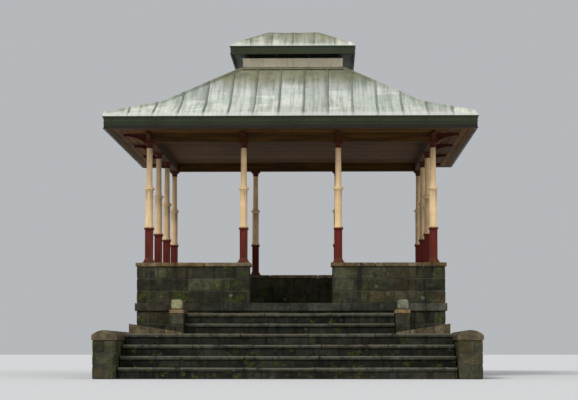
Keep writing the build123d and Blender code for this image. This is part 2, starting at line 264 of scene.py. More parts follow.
def stone_finish(tint, moss_share, lichen, grain=1, soot=0.6):
    """Weathered stone: a tone for each stone, grain, soot runs, moss on ledges, pale lichen."""
    point = object_point()
    z = split(point)[2]
    tone, worn = attribute("tone"), attribute("worn")
    up = split(node("NewGeometry", outlet="Normal"))[2]
    speckle = noise(point, 70, 5, 0.75)
    mottle = noise(point, 6, 6, 0.65)
    cloud = noise(point, 1.6, 4)
    runs = noise(stretched(point, 11, 11, 1.1), 1, 4)
    iron = (tint[0] * 1.18, tint[1] * 0.98, tint[2] * 0.72)
    body = mix(band(maths("FRACT", tone * 7.3), 0.45, 1), tint, iron)
    body = shaded(body, tone, 0, 1, 0.6, 1.45)
    body = shaded(body, mottle, 0.36, 0.64, 0.62, 1.35)
    body = shaded(body, speckle, 0.34, 0.66, 0.68, 1.36)
    sooty = mix(band(runs, 0.5, 0.66), body, scaled(body, 1 - soot))
    body = mix(band(up, 0.8, 0.3, 0.3, 1), body, sooty)
    body = shaded(body, cloud, 0.42, 0.62, 1, 1 - soot * 0.7)
    # Pale nosing edge: wear, and a painted highlight where the nosing catches the light.
    edge = maths("POWER", worn, 5) * band(mottle, 0.3, 0.52)
    body = mix(edge * 0.75, body, shaded(colours().worn, speckle, 0.3, 0.7, 0.7, 1.2))
    low_ledge = band(up, 0.2, 0.9) * 0.07 + band(z, 1.1, 0) * 0.06
    growth = band(mottle + cloud * 0.35 + low_ledge, 0.82 - moss_share, 0.9 - moss_share)
    growth = growth * band(worn, 0.9, 0.6, 0.25, 1)
    body = mix(growth * 0.9, body, shaded(colours().moss, speckle, 0.32, 0.68, 0.35, 1.7))
    warp = node("TexNoise", {"Vector": point, "Scale": 14, "Detail": 2}, "Color")
    near = vector_maths("ADD", point, vector_maths("MULTIPLY", warp, (0.05, 0.05, 0.05)))
    cells = outlets("TexVoronoi", {"Vector": near, "Scale": 9, "Randomness": 1})
    size = split(Wire(cells["Color"]), "SeparateColor")[0]
    reach = Wire(cells["Distance"]) + speckle * 0.9 - size * 0.7
    spot = band(reach, 0.16, 0.02) * band(cloud, 0.46, 0.58)
    body = mix(spot * lichen, body, shaded(colours().lichen, speckle, 0.3, 0.7, 0.7, 1.15))
    coarse = bump(mottle, 0.014 * grain, bump(speckle, 0.003 * grain))
    surface(body, band(mottle, 0.3, 0.7, 0.8, 0.97), bump(growth, 0.006, coarse), specular=0.2)


def mortar_finish():
    """Sandy mortar, darker where it is damp."""
    point = object_point()
    sand = noise(point, 90, 4, 0.7)
    body = shaded(colours().mortar, noise(point, 3, 3), 0.38, 0.62, 0.45, 1.1)
    surface(shaded(body, sand, 0.35, 0.65, 0.6, 1.3), 0.95, bump(sand, 0.003))


def painted_finish(tint, wear, dirt, gloss=0.42, foot=None, lower_edge_shade=None, ledges=()):
    """Old paint on iron: runs of dirt, faded patches, and chips that show rust.

    Rust gathers just above the foot, a painted shade darkens the paint towards the lower of
    two heights, and dirt runs down from each ledge.
    """
    point = object_point()
    z = split(point)[2]
    grime_and_shade, rust = colours().grime_and_shade, colours().rust
    fade = noise(point, 2.6, 4)
    runs = noise(stretched(point, 26, 26, 1.4), 1, 4)
    flakes = noise(point, 19, 7, 0.72)
    brush = noise(stretched(point, 120, 120, 16), 1)
    body = shaded(tint, fade, 0.36, 0.64, 0.88, 1.08)
    body = shaded(body, brush, 0.3, 0.7, 0.97, 1.03)
    body = mix(band(runs, 0.52, 0.72) * dirt, body, scaled(mix(0.35, grime_and_shade, tint), 0.62))
    if lower_edge_shade is not None:
        # Painted shade: the paint darkens towards the lower of the two heights, the fascia's lower
        # edge.
        drift = z + (runs - 0.5) * 0.05
        body = mix(band(drift, lower_edge_shade[1], lower_edge_shade[0], 0, 0.9), body, scaled(grime_and_shade, 0.26))
    streak_length = 0.34
    for ledge in ledges:
        below = band(z, ledge - streak_length, ledge) * maths("LESS_THAN", z, ledge)
        streak = band(runs, 0.4, 0.62, 0.15, 1) * below
        body = mix(streak * 0.55, body, scaled(grime_and_shade, 0.8))
    if foot is not None:
        low_down = band(z, foot + 0.26, foot, 0, 0.1)
        flakes = flakes + low_down
        body = mix(low_down * 5, body, scaled(grime_and_shade, 0.7))
    chips = band(flakes, 0.685 - wear, 0.7 - wear)
    halo = band(flakes, 0.6 - wear, 0.69 - wear)
    body = mix(halo * 0.4, body, mix(0.5, tint, rust))
    bare = mix(band(brush, 0.35, 0.65), rust, scaled(rust, 2.3))
    surface(mix(chips, body, bare), chips * 0.4 + band(fade, 0.35, 0.65, gloss, gloss + 0.15),
            bump(1 - chips, 0.0016, bump(brush, 0.0008)), specular=0.2)


def timber_finish(tint, *scale):
    """Stained softwood, with its grain stretched along one axis and a tone for each board."""
    point = object_point()
    tone = attribute("tone")
    shift = node("CombineXYZ", {0: tone * 9, 1: tone * 5, 2: tone * 3})
    own = vector_maths("ADD", point, shift)
    grain = noise(stretched(own, *scale), 1, 6, 0.68)
    fibre = noise(stretched(own, *[s * 6 for s in scale]), 1)
    body = shaded(tint, tone, 0, 1, 0.66, 1.34)
    body = shaded(body, grain, 0.36, 0.64, 0.58, 1.3)
    body = shaded(body, fibre, 0.35, 0.65, 0.86, 1.12)
    damp = band(noise(point, 1.3, 4), 0.5, 0.66, 0, 0.6)
    surface(mix(damp, body, scaled(colours().grime_and_shade, 0.6)), band(grain, 0.3, 0.7, 0.7, 0.9),
            bump(fibre, 0.0012, bump(grain, 0.0025)), specular=0.08)


def copper_finish(sheet, first, stain_foot, stain_top, eave):
    """Patinated copper sheets that run down each slope of a square roof."""
    patina, verdigris, stain = colours().patina, colours().verdigris, colours().stain
    point = object_point()
    x, y, z = split(point)
    front = maths("GREATER_THAN", maths("ABSOLUTE", y), maths("ABSOLUTE", x))
    side = 1 - front
    across = x * front + y * side
    down = y * front + x * side
    # the numbers that are added here keep the patterns of the four slopes apart
    laid = node("CombineXYZ", {0: across, 1: down, 2: z + side * 17})
    place = maths("DIVIDE", across - first, sheet)
    index = maths("FLOOR", place)
    stagger, courses_a_metre = 0.31, 1.9
    course = maths("FLOOR", (z + index * stagger) * courses_a_metre)
    cell = node("CombineXYZ", {0: index, 1: course + side * 40,
                               2: maths("GREATER_THAN", down, 0) + 0.37})
    tone = node("TexWhiteNoise", {"Vector": cell}, "Value", noise_dimensions="3D")
    edge = maths("ABSOLUTE", maths("FRACT", place) - 0.5)
    runs = noise(stretched(laid, 13, 0.55, 0.8), 1, 6, 0.66)
    drips = noise(stretched(laid, 4, 0.3, 0.4), 1, 3, 0.5)
    cloud = noise(point, 2.2, 5)
    fine = noise(point, 34, 6, 0.75)
    body = shaded(patina, tone, 0, 1, 0.76, 1.08)
    body = mix(band(cloud, 0.44, 0.6, 0, 0.5), body, verdigris)
    body = shaded(body, runs, 0.42, 0.64, 1.08, 0.7)
    body = shaded(body, fine, 0.36, 0.66, 1.06, 0.86)
    # Painted light: the copper is paler over its lowest 0.8 m above the eave.
    lit_foot = vector_maths("MULTIPLY", body, (1.2, 1.16, 1.08))
    body = mix(band(z, eave + 0.8, eave + 0.1), body, lit_foot)
    body = mix(band(noise(point, 9, 5, 0.7), 0.6, 0.68, 0, 0.6), body, stain)
    body = mix(band(edge, 0.435, 0.475, 0, 0.66), body, scaled(verdigris, 0.36))
    ragged = band(z, stain_foot, stain_top, -0.3, 0.85) + drips + runs * 0.8
    moss = shaded(stain, fine, 0.35, 0.65, 0.8, 1.12)
    moss = shaded(moss, cloud, 0.4, 0.6, 1.15, 0.76)
    body = mix(band(ragged, 0.7, 1.75, 0, 0.9), body, moss)
    # Painted highlight: a pale line on the copper just above the eave.
    body = mix(band(z, eave + 0.09, eave + 0.02, 0, 0.5), body, scaled(patina, 1.16))
    dents = bump(noise(point, 3.2, 2, 0.5), 0.03)
    surface(body, band(cloud, 0.4, 0.6, 0.5, 0.75), bump(fine, 0.0015, dents), specular=0.3)


def tinted(card, factor):
    return tuple(min(1, value * factor) for value in card)


def finishes():
    """How each finish is made, with its colours and the heights for its wear and painted light."""
    paint = colours()
    low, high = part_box("roof_slope_front")
    cap_low, cap_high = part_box("lantern_roof")
    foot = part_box("column_01")[0].z
    ledges = [foot + height for height in (0.7, 1.4, 2.25)]
    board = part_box("eaves_fascia_front")[0].z
    # Heights of the painted shade along the fascias' lower edge.
    lower_edge_shade = (board + 0.03, board + 0.15)
    grain_x, grain_y = (1.1, 24, 24), (24, 1.1, 24)
    return {
        # stone: tint, share of moss, lichen, grain, soot
        "walling_sandstone": lambda: stone_finish(paint.wall, 0.1, 0.45),
        "tread_sandstone": lambda: stone_finish(paint.step, 0.02, 0.3, 0.5, 0.5),
        # Floor: the step stone made paler, as painted light on the floor slabs.
        "floor_sandstone_painted_light": lambda: stone_finish(tinted(paint.step, 1.35), 0.02, 0.3, 0.5, 0.4),
        # Risers: the step stone made darker, partly dirt and algae, partly painted shade under the
        # nosings.
        "riser_sandstone": lambda: stone_finish(tinted(paint.step, 0.55), 0.06, 0.2, 0.6),
        "coping_sandstone": lambda: stone_finish(paint.coping, 0.03, 0.5, 0.5, 0.5),
        "cap_sandstone": lambda: stone_finish(paint.cap, 0.02, 0.8, 0.5, 0.45),
        "mortar": mortar_finish,
        # paint: tint, wear, dirt, gloss
        "cream_paint": lambda: painted_finish(paint.cream, 0.02, 0.3, ledges=ledges),
        "maroon_paint": lambda: painted_finish(paint.maroon, 0.075, 0.9, 0.6, foot=foot),
        # Painted shade: the consoles and capitals take a darker maroon.
        "shaded_console_paint": lambda: painted_finish(paint.console, 0.05, 0.6, 0.6),
        "bare_iron": lambda: painted_finish(tinted(paint.rust, 0.8), 0.06, 0.5, 0.6),
        "lead": lambda: painted_finish(shade(112, 112, 106), 0, 0.8, 0.55),
        "green_gloss": lambda: painted_finish(paint.green, 0.02, 0.6, lower_edge_shade=lower_edge_shade),
        "curb_paint": lambda: painted_finish(paint.pale, 0.03, 0.3, 0.5),
        # Painted shade: the louvres are near black.
        "louvre_shade_paint": lambda: painted_finish(paint.louvre, 0, 0.6, 0.55),
        # timber: tint, and how closely the grain lies along each axis
        "timber_x": lambda: timber_finish(paint.timber, *grain_x),
        "timber_y": lambda: timber_finish(paint.timber, *grain_y),
        "boarding_x": lambda: timber_finish(paint.boarding, *grain_x),
        "boarding_y": lambda: timber_finish(paint.boarding, *grain_y),
        "patina": lambda: copper_finish((high.x - low.x) / SHEETS, low.x,
                                        stain_foot=high.z - 0.86, stain_top=high.z - 0.1,
                                        eave=low.z + SHEET_THICK),
        "lantern_patina": lambda: copper_finish((cap_high.x - cap_low.x) / LANTERN_SHEETS,
                                                cap_low.x, stain_foot=cap_low.z - 0.4,
                                                stain_top=cap_high.z + 0.15, eave=cap_low.z),
        "stage_white": lambda: surface((0.74, 0.74, 0.73), 0.9),
    }


def finish(name):
    """The material of that name, made the first time it is asked for."""
    if name not in bpy.data.materials:
        material = bpy.data.materials.new(name)
        material.use_nodes = True
        Wire.tree = material.node_tree
        finishes()[name]()
    return bpy.data.materials[name]


def coat(piece, finish_name):
    """Give a piece, or a part of the frame, its one finish."""
    piece.data.materials.clear()
    piece.data.materials.append(finish(finish_name))
    return piece


# Modelling tools


def put_down():
    """Leave edit mode and deselect everything."""
    if bpy.context.object and bpy.context.object.mode == "EDIT":
        bpy.ops.object.mode_set(mode="OBJECT")
    bpy.ops.object.select_all(action="DESELECT")


def hold(piece):
    put_down()
    piece.select_set(True)
    bpy.context.view_layer.objects.active = piece


def edit(piece):
    hold(piece)
    bpy.ops.object.mode_set(mode="EDIT")


def settle(piece):
    """Put the object at the origin, with its place in its mesh."""
    hold(piece)
    bpy.ops.object.transform_apply(location=True, rotation=True, scale=True)
    return piece


def label(piece, name):
    piece.name = piece.data.name = name
    return piece


def apply(piece, kind, **settings):
    """Add a modifier, set it, and apply it."""
    hold(piece)
    bpy.ops.object.modifier_add(type=kind)
    made = piece.modifiers[-1]
    for setting, value in settings.items():
        setattr(made, setting, value)
    bpy.ops.object.modifier_apply(modifier=made.name)


def bevel(piece, width, segments=1, angle=math.radians(30)):
    apply(piece, "BEVEL", width=width, segments=segments, limit_method="ANGLE", angle_limit=angle)


def roughen(piece, cuts, grain, relief, level=0.62):
    """Subdivide a piece, and lay a cloudy relief on it."""
    if cuts:
        apply(piece, "SUBSURF", subdivision_type="SIMPLE", levels=cuts, render_levels=cuts)
    name = f"relief_{grain:.3f}"
    if name not in bpy.data.textures:
        made = bpy.data.textures.new(name, type="CLOUDS")
        made.noise_scale = grain
        made.noise_depth = 2
    apply(piece, "DISPLACE", texture=bpy.data.textures[name], texture_coords="LOCAL",
          strength=relief, mid_level=level)


def smooth(piece, angle):
    hold(piece)
    bpy.ops.object.shade_smooth_by_angle(angle=angle)


def deliver(piece, finish_name=None, nodes=()):
    """Finish a piece, let it ride on the frame, and hide the frame parts that it stands for."""
    if finish_name:
        coat(piece, finish_name)
    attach(piece, BODY)
    if nodes:
        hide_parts(*nodes)
    put_down()


def join(pieces):
    """Join pieces into the first of them."""
    hold(pieces[0])
    for other in pieces[1:]:
        other.select_set(True)
    bpy.ops.object.join()
    return pieces[0]


def copy_piece(piece, name):
    hold(piece)
    bpy.ops.object.duplicate(linked=False)
    return label(bpy.context.object, name)


def face_side(piece, number):
    """Turn a piece made for the front to another side of the square."""
    piece.rotation_euler = (0, 0, number * math.pi / 2)
    return settle(piece)


def on_all_sides(piece, name):
    """Repeat a front piece on the other three sides, and join the four."""
    others = [face_side(copy_piece(piece, f"{name}_{number}"), number) for number in (1, 2, 3)]
    return label(join([piece, *others]), name)


def pick(piece, test):
    """In edit mode, select the faces whose middle and normal pass a test."""
    bpy.ops.mesh.select_mode(type="FACE")
    bpy.ops.mesh.select_all(action="DESELECT")
    work = bmesh.from_edit_mesh(piece.data)
    for face in work.faces:
        if test(face.calc_center_median(), face.normal):
            face.select_set(True)
    bmesh.update_edit_mesh(piece.data)


def pick_points(piece, test):
    """In edit mode, select the points whose place passes a test, and give their places."""
    bpy.ops.mesh.select_mode(type="VERT")
    bpy.ops.mesh.select_all(action="DESELECT")
    work = bmesh.from_edit_mesh(piece.data)
    for point in work.verts:
        point.select_set(test(point.co))
    work.select_flush_mode()
    bmesh.update_edit_mesh(piece.data)
    return [point.co for point in work.verts if point.select]


def extrude_up(rise):
    bpy.ops.mesh.extrude_region_move(TRANSFORM_OT_translate={"value": (0, 0, rise)})


def cut_across(axis, lines):
    """In edit mode, cut everything across an axis at each line."""
    for line in lines:
        place = [line if i == axis else 0 for i in range(3)]
        way = [1 if i == axis else 0 for i in range(3)]
        bpy.ops.mesh.select_all(action="SELECT")
        bpy.ops.mesh.bisect(plane_co=place, plane_no=way)


def shift_lines(piece, axis, lines, test, rise):
    """In edit mode, lift the points on each line that pass a test."""
    for line in lines:
        pick_points(piece, lambda at: abs(at[axis] - line) < CLOSE and test(at))
        bpy.ops.transform.translate(value=(0, 0, rise(line)))


def trim_foot(piece):
    """Cut off what reaches below the ground, and close the cut."""
    edit(piece)
    bpy.ops.mesh.select_all(action="SELECT")
    bpy.ops.mesh.bisect(plane_co=(0, 0, GROUND), plane_no=(0, 0, 1), use_fill=True,
                        clear_inner=True)
    put_down()


def start_bars(name, bars):
    """Add bars, each by its middle, its lengths and its turn, and leave them open in edit mode."""
    put_down()
    piece = None
    for middle, lengths, turn in bars:
        bpy.ops.mesh.primitive_cube_add(size=1, location=middle, rotation=turn, scale=lengths)
        if piece is None:
            piece = settle(label(bpy.context.object, name))
            bpy.ops.object.mode_set(mode="EDIT")
    return piece


def start_blocks(name, blocks):
    """Add blocks at their size and place, and leave them open in edit mode."""
    return start_bars(name, [((low + high) / 2, high - low, FLAT) for low, high in blocks])


def lay_strips(name, strips, arris, segments=1):
    """Straight strips in one piece, each given by its middle, its lengths and its turn."""
    piece = start_bars(name, strips)
    put_down()
    bevel(piece, arris, segments)
    return piece


def trim(name, strips, finish_name, arris, segments=1):
    """Strips made for the front and run along all four sides."""
    deliver(on_all_sides(lay_strips(name, strips, arris, segments), name), finish_name)


def lay_blocks(name, blocks, arris, segments=1, relief=0, grain=0.11, cuts=1, tones=True):
    """Separate blocks with worn arrises, each block with its own tone."""
    piece = start_blocks(name, blocks)
    put_down()
    if tones:
        picker = random.Random(name)
        values = [picker.random() for _ in blocks]
        layer = piece.data.attributes.new("tone", "FLOAT", "FACE")
        for face, value in enumerate(layer.data):
            value.value = values[face // 6]
    bevel(piece, arris, segments)
    if relief:
        roughen(piece, cuts, grain, relief)
    return piece


# Setting out


def block(xs, ys, zs):
    """The low and the high corner of a block, from its two places on each axis."""
    low, high = zip(*(sorted(pair) for pair in (xs, ys, zs)))
    return Vector(low), Vector(high)


def within(box, xs=None, ys=None, zs=None):
    """A box with other places on some of its axes."""
    return block(*(given or own for given, own in zip((xs, ys, zs), zip(*box))))


def evenly(first, last, count):
    return [first + (last - first) * i / (count - 1) for i in range(count)]


def spans(start, end, mean, picker, spread=0.28):
    """Break a run into lengths of about a mean."""
    count = max(1, round((end - start) / mean))
    shares = [1 + picker.uniform(-spread, spread) for _ in range(count)]
    places = [start]
    for share in shares:
        places.append(places[-1] + (end - start) * share / sum(shares))
    return list(pairwise(places))


def in_line(box, axis, mean, picker, spread=0.28):
    """Break a block into stones along one axis."""
    return [within(box, *[None] * axis, span)
            for span in spans(box[0][axis], box[1][axis], mean, picker, spread)]


def in_rows(box, deep, wide, picker, spread):
    """Break a floor into rows of about a depth, and the rows into slabs of about a width."""
    return [slab for row in in_line(box, 1, deep, picker, spread)
            for slab in in_line(row, 0, wide, picker, spread=0.2)]


def courses(box, leaf, picker):
    """The stones of a rectangular wall, whose sides take turns to run to its corners."""
    low, high = box
    stones = []
    for number, zs in enumerate(spans(low.z, high.z, sizes().course, picker, spread=0.16)):
        for axis, inset in enumerate((0, leaf) if number % 2 else (leaf, 0)):
            if axis == 1 and high.y - low.y - 2 * inset <= leaf / 2:
                continue
            start, end = low[1 - axis], high[1 - axis]
            for run in spans(low[axis] + inset, high[axis] - inset, sizes().stone, picker):
                for deep in ((start, start + leaf), (end - leaf, end)):
                    stones.append(block(*((deep, run) if axis else (run, deep)), zs))
    return stones


def shrunk(box, amount, axes="xyz"):
    step = Vector([amount if axis in axes else 0 for axis in "xyz"])
    return box[0] + step, box[1] - step


def jointed(stones, joint, axes="xyz"):
    """Shrink stones by half a joint on each side, along the axes given."""
    return [shrunk(stone, joint / 2, axes) for stone in stones
            if min(stone[1] - stone[0]) > joint * 1.5]


def core_blocks(name, blocks):
    """The plain mass behind the joints, with a small chamfer on its edges."""
    return lay_blocks(name, blocks, arris=0.002, tones=False)


def bedded(faces, cores, finish_name, slot, *nodes):
    """Set jointed stones on a mass of mortar, and trim both at the ground."""
    coat(faces, finish_name)
    join([faces, coat(core_blocks("bed", cores), "mortar")])
    if min(low.z for low, high in cores) < sizes().joint:
        trim_foot(faces)
    deliver(faces, nodes=nodes)


def walling(name, stones, cores, *nodes):
    """A wall of squared stones over a mortar core."""
    size = sizes()
    faces = lay_blocks(name, jointed(stones, size.joint), size.arris, relief=size.rough)
    bedded(faces, cores, "walling_sandstone", "wall_stone", *nodes)


def bent_slope(edge, foot, knee, outer, inner):
    """A rule for the height and the pitch of a slope that bends once, at a distance out."""
    def at(out):
        if out > knee:
            return foot + (edge - out) * math.tan(outer), outer
        return foot + (edge - knee) * math.tan(outer) + (knee - out) * math.tan(inner), inner
    return at


def main_slope():
    low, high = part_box("roof_slope_front")
    return bent_slope(high.x, low.z + SHEET_THICK, high.x - FLARE_RUN, FLARE_PITCH, MAIN_PITCH)


# Stone


class LayPodium(bpy.types.Operator):
    """Face the stone base with courses of squared stone"""

    bl_idname = "bandstand.lay_podium"
    bl_label = "Lay podium"

    def execute(self, context):
        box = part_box("base_podium")
        walling("podium_walling", courses(box, STONE_DEPTH, random.Random(11)),
                [shrunk(box, sizes().recess, "xy")], "base_podium")
        return {"FINISHED"}


class LayDwarfWalls(bpy.types.Operator):
    """Build the low walls round the floor, with the entrance left open"""

    bl_idname = "bandstand.lay_dwarf_walls"
    bl_label = "Lay dwarf walls"

    def execute(self, context):
        names = ["dwarf_wall_" + end for end in ("front_left", "front_right", "back", "left",
                                                 "right")]
        boxes = [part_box(name) for name in names]
        low, high = ring = boxes[0][0], boxes[2][1]
        door = boxes[1][0].x
        leaf = (high.y - boxes[2][0].y) / 2
        picker = random.Random(23)
        kept = []
        for stone in (courses(ring, leaf, picker)
                      + courses(shrunk(ring, leaf, "xy"), leaf, picker)):
            start, end = stone
            if start.y > low.y + 2 * leaf or end.x <= -door or start.x >= door:
                kept.append(stone)
                continue
            if start.x < -door:
                kept.append(within(stone, (start.x, -door)))
            if end.x > door:
                kept.append(within(stone, (door, end.x)))
        walling("dwarf_walling", kept, [shrunk(box, sizes().recess, "xy") for box in boxes],
                *names)
        return {"FINISHED"}


class LayFloor(bpy.types.Operator):
    """Pave the floor with stone slabs over a mortar bed"""

    bl_idname = "bandstand.lay_floor"
    bl_label = "Lay floor"

    def execute(self, context):
        size = sizes()
        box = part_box("floor_slab")
        stones = in_rows(box, size.paving, size.paving * 1.3, random.Random(5), spread=0.05)
        floor = lay_blocks("floor_paving", jointed(stones, size.step_joint, "xy"), arris=0.009,
                           segments=2, relief=0.004, grain=0.3)
        bedded(floor, [shrunk(box, size.recess / 2)], "floor_sandstone_painted_light", "step_stone",
               "floor_slab")
        return {"FINISHED"}


def lay_tread(name, stones):
    """Stones that feet have dished in the middle; wear and a painted highlight pale the nosing."""
    half_width, wear_and_highlight_reach = 2, 0.1
    piece = lay_blocks(name + "_stones", stones, arris=0.014, segments=3, relief=0.005,
                       grain=0.22, cuts=0)
    front = min(low.y for low, high in stones)
    top = max(high.z for low, high in stones)
    edit(piece)
    lines = [0.2 * i + 0.013 for i in range(-9, 10)]        # where the dish may bend the stone
    cut_across(0, lines)
    cut_across(1, [front + 0.09, front + 0.24])
    shift_lines(piece, 0, lines, lambda at: at.z > top - 0.03 and at.y < front + 0.3,
                lambda x: -sizes().tread_wear * math.cos(x / half_width * math.pi / 2) ** 2)
    put_down()
    # Wear and painted highlight on the nosing: full on its upper edge, weaker lower down.
    worn = piece.data.attributes.new("worn", "FLOAT", "POINT")
    for point, value in zip(piece.data.vertices, worn.data):
        near = max(0, 1 - max(0, point.co.y - front - 0.015) / wear_and_highlight_reach)
        value.value = near * (1 if point.co.z > top - 0.04 else 0.45)
    deliver(piece, "tread_sandstone", [name])


def lay_risers(flight, count, picker):
    """The stones between the treads of a flight, over its stepped mass."""
    size = sizes()
    name = flight + "_stair_core"
    low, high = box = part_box(name)
    nose_low, nose_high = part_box(flight + "_tread_1")
    stones, cores = [], []
    for row in range(count):
        y = low.y + (nose_high.y - low.y) * row
        foot = low.z + (nose_high.z - low.z) * row
        zs = (foot, min(foot + nose_low.z - low.z, high.z))
        stones += in_line(within(box, None, (y, y + STONE_DEPTH), zs), 0, size.stone * 1.9,
                          picker)
        cores.append(within(box, None, (y + size.recess, high.y), zs))
    faces = lay_blocks(name + "_risers", jointed(stones, size.step_joint, "x"), arris=0.006,
                       relief=0.008)
    bedded(faces, cores, "riser_sandstone", "step_stone", name)


class LaySteps(bpy.types.Operator):
    """Lay treads with rounded nosings, their risers and the landing"""

    bl_idname = "bandstand.lay_steps"
    bl_label = "Lay steps"

    def execute(self, context):
        size = sizes()
        picker = random.Random(31)
        for name in ("lower_tread_1", "lower_tread_2", "lower_tread_3", "upper_tread_1",
                     "upper_tread_2"):
            stones = in_line(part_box(name), 0, size.step_stone, picker, spread=0.15)
            lay_tread(name, jointed(stones, size.step_joint, "x"))
        stones = in_rows(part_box("landing_slab"), size.step_stone / 2, size.step_stone, picker,
                         spread=0.08)
        lay_tread("landing_slab", jointed(stones, size.step_joint, "xy"))
        lay_risers("lower", 4, picker)
        lay_risers("upper", 2, picker)
        return {"FINISHED"}


def leaf_wall(name, node_name, seat, overhang, picker):
    """Two leaves of stone up to the coping's seat, set in below its overhang."""
    low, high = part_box(node_name)
    faces, core = [block((low.x + inset, high.x - inset), (low.y + inset, high.y), (low.z, seat))
                   for inset in (overhang, overhang + sizes().recess)]
    walling(name, courses(faces, (high.x - low.x) / 2 - overhang, picker), [core], node_name)


def rounded_coping(name, box, crown, picker):
    """Coping stones whose top follows an arc across the wall."""
    low, high = box
    stones = in_line(box, 1, sizes().coping_stone * 0.75, picker, spread=0.1)
    half = (high.x - low.x) / 2
    radius = (half ** 2 + crown ** 2) / (2 * crown)
    piece = start_blocks(name, jointed(stones, sizes().step_joint, "y"))
    lines = evenly(low.x, high.x, 11)[1:-1]
    cut_across(0, lines)
    shift_lines(piece, 0, lines, lambda at: at.z > low.z + 0.01,
                lambda x: math.sqrt(radius ** 2 - (x - low.x - half) ** 2) - radius + crown)
    bevel(piece, 0.008, segments=2, angle=0.7)
    smooth(piece, angle=0.5)
    deliver(piece, "coping_sandstone")


class LayStairWalls(bpy.types.Operator):
    """Build the walls beside the lower flight with rounded copings, and the cheek walls"""

    bl_idname = "bandstand.lay_stair_walls"
    bl_label = "Lay stair walls"

    def execute(self, context):
        edge_height, overhang = 0.085, 0.012
        cheek_coping, cheek_stone = 0.07, 0.52
        for side in ("left", "right"):
            picker = random.Random(41)
            name = "stair_side_wall_" + side
            low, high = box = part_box(name)
            crown = (high.x - low.x) / 5
            seat = high.z - crown - edge_height
            leaf_wall("side_walling_" + side, name, seat, overhang, picker)
            rounded_coping("side_coping_" + side, within(box, zs=(seat, high.z - crown)), crown,
                           picker)
            name = "cheek_wall_" + side
            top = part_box(name)[1].z
            seat = top - cheek_coping
            leaf_wall("cheek_walling_" + side, name, seat, 0, picker)
            stones = in_line(within(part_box(name), zs=(seat, top)), 1, cheek_stone, picker,
                             spread=0.1)
            deliver(lay_blocks("cheek_coping_" + side, jointed(stones, sizes().step_joint, "y"),
                               arris=0.01, segments=2, relief=0.004, cuts=0),
                    "coping_sandstone")
        return {"FINISHED"}


def cut_kerb(sign):
    """The kerb of one side, whose top rises from the cheek wall to the outer end."""
    low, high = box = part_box("wing_kerbs")
    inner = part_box("cheek_wall_right")[0].x
    foot = low.z + 0.03
    stone_length = 0.36
    stones = [within(box, (sign * a, sign * b))
              for a, b in spans(inner, high.x, stone_length, random.Random(71), spread=0.15)]
    piece = lay_blocks(f"kerb_{sign}", jointed(stones, sizes().step_joint, "x"), arris=0.001)
    edit(piece)
    places = sorted({round(at.x, 5) for at in pick_points(piece, lambda at: True)})
    shift_lines(piece, 0, places, lambda at: at.z > high.z - 0.01,
                lambda x: (foot - high.z) * (1 - (abs(x) - inner) / (high.x - inner)))
    bevel(piece, 0.012, segments=2, angle=0.9)
    roughen(piece, cuts=1, grain=0.13, relief=0.008, level=0.7)
    return piece


class CutKerbs(bpy.types.Operator):
    """Cut the sloped kerb stones beside the landing and the blocks that end the cheek walls"""

    bl_idname = "bandstand.cut_kerbs"
    bl_label = "Cut kerbs"

    def execute(self, context):
        kerbs = label(join([cut_kerb(-1), cut_kerb(1)]), "kerb_stones")
        deliver(kerbs, "coping_sandstone", ["wing_kerbs"])
        low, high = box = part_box("cheek_cap_stones")
        wide = high.y - low.y
        blocks = [within(box, (sign * high.x, sign * (high.x - wide))) for sign in (-1, 1)]
        piece = lay_blocks("end_blocks", blocks, arris=0.052, segments=6, relief=0.01, grain=0.09,
                           cuts=2)
        smooth(piece, angle=0.7)
        deliver(piece, "cap_sandstone", ["cheek_cap_stones"])
        return {"FINISHED"}


class LayCopings(bpy.types.Operator):
    """Lay coping stones on the dwarf walls, with a gap at the entrance"""

    bl_idname = "bandstand.lay_copings"
    bl_label = "Lay copings"

    def execute(self, context):
        picker = random.Random(53)
        size = sizes()
        low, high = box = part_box("coping_back")
        reach, near = high.x, high.x - (high.y - low.y)
        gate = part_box("dwarf_wall_front_right")[0].x - (high.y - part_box("dwarf_wall_back")[1].y)
        stones = []
        for sign in (-1, 1):
            edge = (sign * near, sign * reach)
            side = within(box, None, edge)
            stones += [within(side, xs) for xs in ((-reach, -near), (near, reach))]
            for run in ((-near, -gate), (gate, near)) if sign < 0 else ((-near, near),):
                stones += in_line(within(side, run), 0, size.coping_stone, picker, spread=0.06)
            stones += in_line(within(box, edge, (-near, near)), 1, size.coping_stone, picker,
                              spread=0.06)
        piece = lay_blocks("coping_stones", jointed(stones, size.step_joint, "xy"), arris=0.017,
                           segments=2, relief=0.005, grain=0.2, cuts=0)
        deliver(piece, "coping_sandstone", ["coping_" + side for side in SIDES])
        return {"FINISHED"}


# Iron


PEDESTAL, LOWER_SHAFT, UPPER_SHAFT, CAPITAL, ABACUS = (     # heights and half widths
    ((0.000, 0.093), (0.050, 0.093), (0.062, 0.087), (0.074, 0.075), (0.080, 0.073),
     (0.637, 0.073), (0.647, 0.083), (0.655, 0.092), (0.677, 0.092)),
    ((0.677, 0.086), (0.690, 0.089), (0.700, 0.083), (0.708, 0.086), (0.723, 0.070),
     (1.388, 0.070)),
    ((1.386, 0.070), (1.392, 0.076), (1.400, 0.078), (1.408, 0.076), (1.414, 0.081),
     (1.426, 0.100), (1.433, 0.102), (1.447, 0.102), (1.454, 0.100), (1.466, 0.078),
     (1.474, 0.070), (1.488, 0.066), (1.500, 0.062), (1.520, 0.059), (2.232, 0.053)),
    ((2.230, 0.056), (2.238, 0.064), (2.246, 0.066), (2.254, 0.060), (2.262, 0.057),
     (2.276, 0.060), (2.290, 0.069), (2.303, 0.084), (2.310, 0.094), (2.315, 0.094)),
    ((2.314, 0.094), (2.320, 0.098), (2.326, 0.102), (2.344, 0.102)))
NUT = ((0.010, 0.010), (0.019, 0.010), (0.021, 0.007), (0.027, 0.005))


